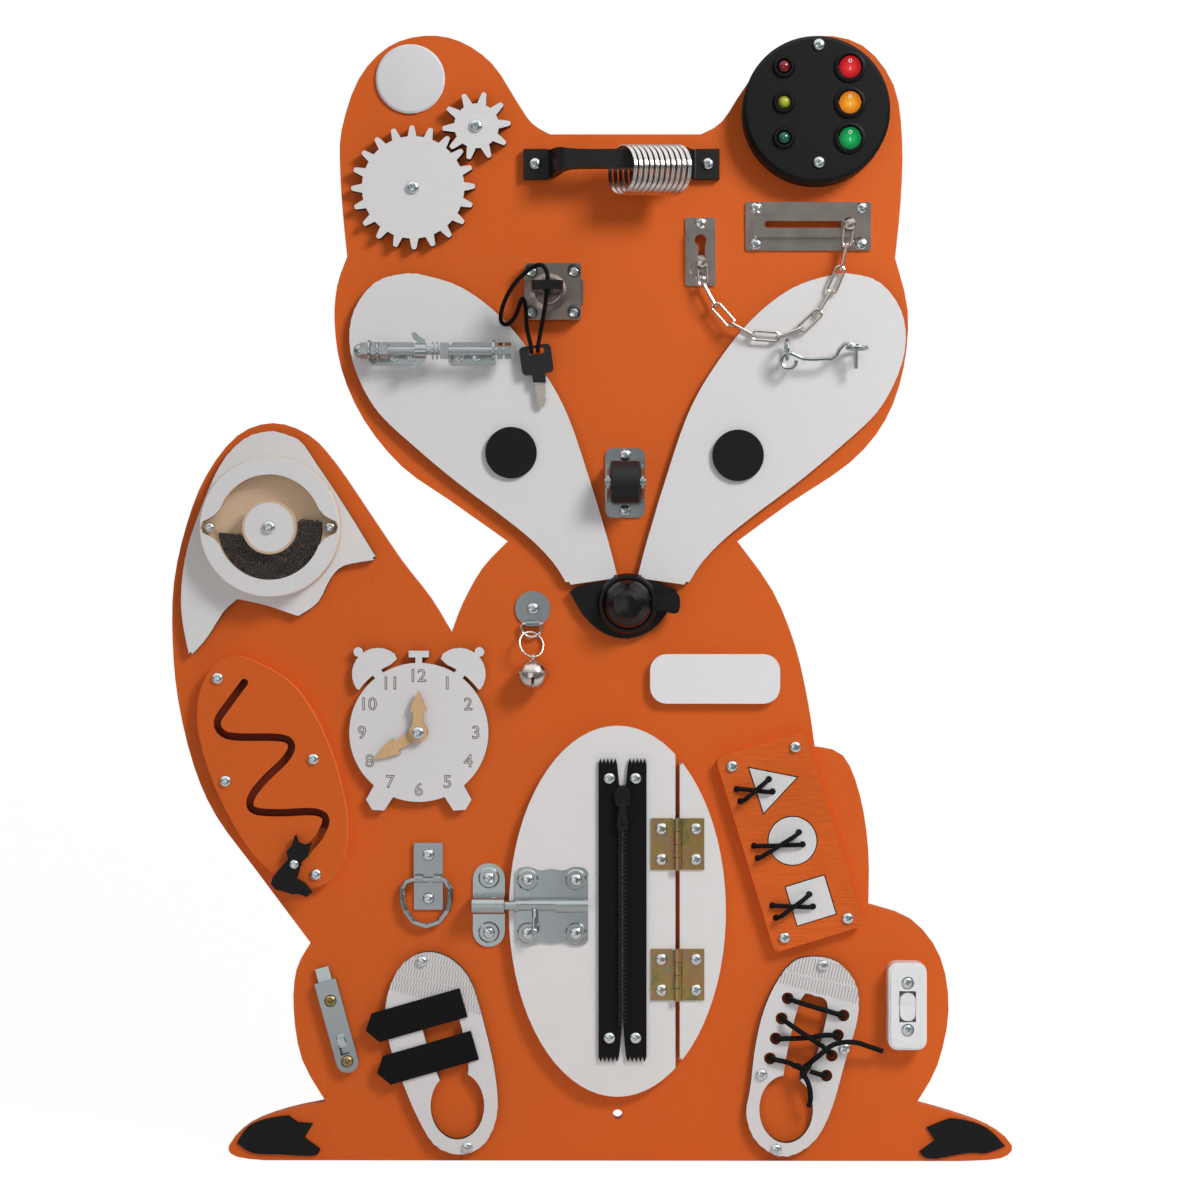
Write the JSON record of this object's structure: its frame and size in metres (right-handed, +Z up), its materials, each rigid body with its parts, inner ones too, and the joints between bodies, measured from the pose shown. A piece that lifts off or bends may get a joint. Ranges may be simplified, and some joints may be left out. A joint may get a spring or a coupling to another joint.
{
  "type": "wooden busy board",
  "caption": "Fox-shaped painted plywood busy board with gears, latches, locks, laces, a bell, a seed drum, a clock face, a maze, switches and a zipped belly door.",
  "frame": {"origin": "centre of the wall fixing hole on the board's back face, low on the board between the shoes", "axes": "+Z up along the board's height, which is its longest extent; +X to the right seen from the front; the board faces -Y and its back lies on y = 0"},
  "size_m": [0.5963, 0.067, 0.799],
  "materials": {
    "orange_board": "orange matt paint on plywood",
    "white_paint": "white satin paint on plywood with bare edges",
    "black_paint": "black satin paint on plywood",
    "plain_ply": "plain varnished plywood",
    "zinc": "bright zinc plate",
    "nickel": "polished nickel plate",
    "black_plastic": "gloss",
    "black_metal": "gloss black enamel",
    "tyre_black": "satin",
    "lamp": "tinted lens",
    "red_plastic": "gloss",
    "amber_plastic": "gloss",
    "green_plastic": "gloss",
    "white_plastic": "satin",
    "cord": "woven polyester",
    "window": "clear acrylic",
    "seeds": "small dark beads"
  },
  "bodies": {
    "fox_board": {"board": "orange_board", "white_panels": "white_paint", "black_panels": "black_paint", "board_screws": "zinc", "pull_handle": "black_plastic", "light_box": "black_paint", "lamp_lenses": "lamp", "chain_plates": "nickel", "chain_links": "nickel", "lock_case": "nickel", "key_cord": "cord", "brackets_and_eyes": "zinc", "roller_frame": "zinc", "bell_base": "black_plastic", "bell_dome": "black_metal", "drum_seeds": "seeds", "clock_body": "white_paint", "maze_plate": "orange_board", "ring_anchors": "zinc", "frame_fittings": "zinc", "lacing_plate": "orange_board", "lacing_cords": "cord", "shoe_lace": "cord", "flush_bolt_case": "zinc", "switch_case": "white_plastic"},
    "large_gear": {"large_gear": "white_paint"},
    "small_gear": {"small_gear": "white_paint"},
    "key_rings": {"key_rings": "nickel"},
    "rocker_red": {"rocker_red": "red_plastic"},
    "rocker_amber": {"rocker_amber": "amber_plastic"},
    "rocker_green": {"rocker_green": "green_plastic"},
    "chain_slider": {"chain_slider": "nickel"},
    "lock_key": {"lock_key": "black_plastic"},
    "lock_latch": {"lock_latch": "nickel"},
    "spare_key": {"spare_key": "black_plastic"},
    "threaded_bolt": {"threaded_bolt": "zinc"},
    "wing_nut": {"wing_nut": "zinc"},
    "gate_hook": {"gate_hook": "zinc"},
    "roller_wheel": {"roller_wheel": "tyre_black"},
    "bell_lever": {"bell_lever": "black_plastic"},
    "drum": {"drum_case": "white_paint", "drum_window": "window"},
    "hour_hand": {"hour_hand": "plain_ply"},
    "minute_hand": {"minute_hand": "plain_ply"},
    "maze_slider": {"maze_slider": "black_paint"},
    "jingle_ring": {"jingle_ring": "nickel"},
    "jingle_bell": {"jingle_bell": "nickel"},
    "belly_door": {"belly_door": "white_paint", "door_fittings": "zinc", "zipper_tape": "cord"},
    "slide_bolt": {"slide_bolt": "zinc"},
    "zipper_slider": {"zipper_slider": "black_metal"},
    "lashing_ring": {"lashing_ring": "zinc"},
    "triangle_shape": {"triangle_shape": "white_paint"},
    "circle_shape": {"circle_shape": "white_paint"},
    "square_shape": {"square_shape": "white_paint"},
    "upper_strap": {"upper_strap": "cord"},
    "lower_strap": {"lower_strap": "cord"},
    "flush_bolt_slider": {"flush_bolt_slider": "zinc"},
    "switch_rocker": {"switch_rocker": "white_plastic"}
  },
  "joints": [
    {"name": "large_gear_turn", "type": "hinge", "parent": "fox_board", "child": "large_gear", "pos_m": [-0.1446, -0.0165, 0.657], "axis": [0, -1, 0], "continuous": true},
    {"name": "small_gear_turn", "type": "hinge", "parent": "fox_board", "child": "small_gear", "pos_m": [-0.0998, -0.0165, 0.7005], "axis": [0, -1, 0], "continuous": true},
    {"name": "key_rings_slide", "type": "slide", "parent": "fox_board", "child": "key_rings", "axis": [1, 0, 0], "range_m": [-0.028, 0]},
    {"name": "rocker_red_turn", "type": "hinge", "parent": "fox_board", "child": "rocker_red", "pos_m": [0.163, -0.032, 0.7397], "axis": [1, 0, 0], "range_deg": [-16, 0]},
    {"name": "rocker_amber_turn", "type": "hinge", "parent": "fox_board", "child": "rocker_amber", "pos_m": [0.163, -0.032, 0.7147], "axis": [1, 0, 0], "range_deg": [-16, 0]},
    {"name": "rocker_green_turn", "type": "hinge", "parent": "fox_board", "child": "rocker_green", "pos_m": [0.163, -0.032, 0.6897], "axis": [1, 0, 0], "range_deg": [-16, 0]},
    {"name": "chain_slider_slide", "type": "slide", "parent": "fox_board", "child": "chain_slider", "axis": [1, 0, 0], "range_m": [-0.057, 0.002], "deforming": ["chain_links"]},
    {"name": "lock_key_turn", "type": "hinge", "parent": "fox_board", "child": "lock_key", "pos_m": [-0.0489, -0.042, 0.5826], "axis": [0, -1, 0], "range_deg": [0, 180], "deforming": ["key_cord"]},
    {"name": "lock_latch_slide", "type": "slide", "parent": "fox_board", "child": "lock_latch", "axis": [1, 0, 0], "range_m": [0, 0.008]},
    {"name": "spare_key_turn", "type": "hinge", "parent": "fox_board", "child": "spare_key", "pos_m": [-0.0582, -0.022, 0.541], "axis": [0, -1, 0], "range_deg": [-20, 20], "deforming": ["key_cord"]},
    {"name": "threaded_bolt_turn", "type": "hinge", "parent": "fox_board", "child": "threaded_bolt", "pos_m": [-0.13, -0.0357, 0.54], "axis": [1, 0, 0], "continuous": true},
    {"name": "wing_nut_slide", "type": "slide", "parent": "threaded_bolt", "child": "wing_nut", "axis": [1, 0, 0], "range_m": [-0.015, 0.003]},
    {"name": "gate_hook_turn", "type": "hinge", "parent": "fox_board", "child": "gate_hook", "pos_m": [0.1202, -0.0296, 0.5336], "axis": [0, -1, 0], "range_deg": [0, 75]},
    {"name": "roller_wheel_turn", "type": "hinge", "parent": "fox_board", "child": "roller_wheel", "pos_m": [0.0053, -0.02955, 0.4484], "axis": [1, 0, 0], "continuous": true},
    {"name": "bell_lever_turn", "type": "hinge", "parent": "fox_board", "child": "bell_lever", "pos_m": [0.0296, -0.026, 0.3632], "axis": [0, -1, 0], "range_deg": [0, 18], "stiffness_Nm_per_rad": 0.02},
    {"name": "drum_turn", "type": "hinge", "parent": "fox_board", "child": "drum", "pos_m": [-0.2446, -0.026, 0.4165], "axis": [0, -1, 0], "continuous": true},
    {"name": "hour_hand_turn", "type": "hinge", "parent": "fox_board", "child": "hour_hand", "pos_m": [-0.1407, -0.022, 0.2717], "axis": [0, -1, 0], "continuous": true},
    {"name": "minute_hand_turn", "type": "hinge", "parent": "fox_board", "child": "minute_hand", "pos_m": [-0.1407, -0.0196, 0.2717], "axis": [0, -1, 0], "continuous": true},
    {"name": "maze_slider_slide", "type": "slide", "parent": "fox_board", "child": "maze_slider", "axis": [0.6763, 0, 0.7367], "range_m": [0, 0.022]},
    {"name": "jingle_ring_turn", "type": "hinge", "parent": "fox_board", "child": "jingle_ring", "pos_m": [-0.0602, -0.0158, 0.3486], "axis": [-1, 0, 0], "range_deg": [0, 120]},
    {"name": "jingle_bell_turn", "type": "hinge", "parent": "jingle_ring", "child": "jingle_bell", "pos_m": [-0.0605, -0.0211, 0.3252], "axis": [0, -1, 0], "range_deg": [-15, 15]},
    {"name": "belly_door_turn", "type": "hinge", "parent": "fox_board", "child": "belly_door", "pos_m": [0.04235, -0.023, 0.145], "axis": [0, 0, 1], "range_deg": [0, 110]},
    {"name": "slide_bolt_slide", "type": "slide", "parent": "belly_door", "child": "slide_bolt", "axis": [1, 0, 0], "range_m": [-0.0095, 0.012]},
    {"name": "zipper_slider_slide", "type": "slide", "parent": "belly_door", "child": "zipper_slider", "axis": [0, 0, -1], "range_m": [0, 0.155]},
    {"name": "lashing_ring_turn", "type": "hinge", "parent": "fox_board", "child": "lashing_ring", "pos_m": [-0.1342, -0.0165, 0.1672], "axis": [-1, 0, 0], "range_deg": [0, 150]},
    {"name": "triangle_shape_slide", "type": "slide", "parent": "fox_board", "child": "triangle_shape", "axis": [0, -1, 0], "range_m": [0, 0.012], "deforming": ["lacing_cords"]},
    {"name": "circle_shape_slide", "type": "slide", "parent": "fox_board", "child": "circle_shape", "axis": [0, -1, 0], "range_m": [0, 0.012], "deforming": ["lacing_cords"]},
    {"name": "square_shape_slide", "type": "slide", "parent": "fox_board", "child": "square_shape", "axis": [0, -1, 0], "range_m": [0, 0.012], "deforming": ["lacing_cords"]},
    {"name": "upper_strap_turn", "type": "hinge", "parent": "fox_board", "child": "upper_strap", "pos_m": [-0.109, -0.0192, 0.0807], "axis": [-0.2756, 0, 0.9613], "range_deg": [0, 100]},
    {"name": "lower_strap_turn", "type": "hinge", "parent": "fox_board", "child": "lower_strap", "pos_m": [-0.101, -0.0192, 0.0506], "axis": [-0.2756, 0, 0.9613], "range_deg": [0, 100]},
    {"name": "flush_bolt_slider_slide", "type": "slide", "parent": "fox_board", "child": "flush_bolt_slider", "axis": [-0.2672, 0, 0.9636], "range_m": [-0.0075, 0.0025]},
    {"name": "switch_rocker_turn", "type": "hinge", "parent": "fox_board", "child": "switch_rocker", "pos_m": [0.2043, -0.025, 0.0788], "axis": [1, 0, 0], "range_deg": [-12, 0]}
  ],
  "couplings": [
    {"joint": "small_gear_turn", "follows": "large_gear_turn", "ratio": -2},
    {"joint": "lock_latch_slide", "follows": "lock_key_turn", "m_per_rad": 0.002546}
  ]
}
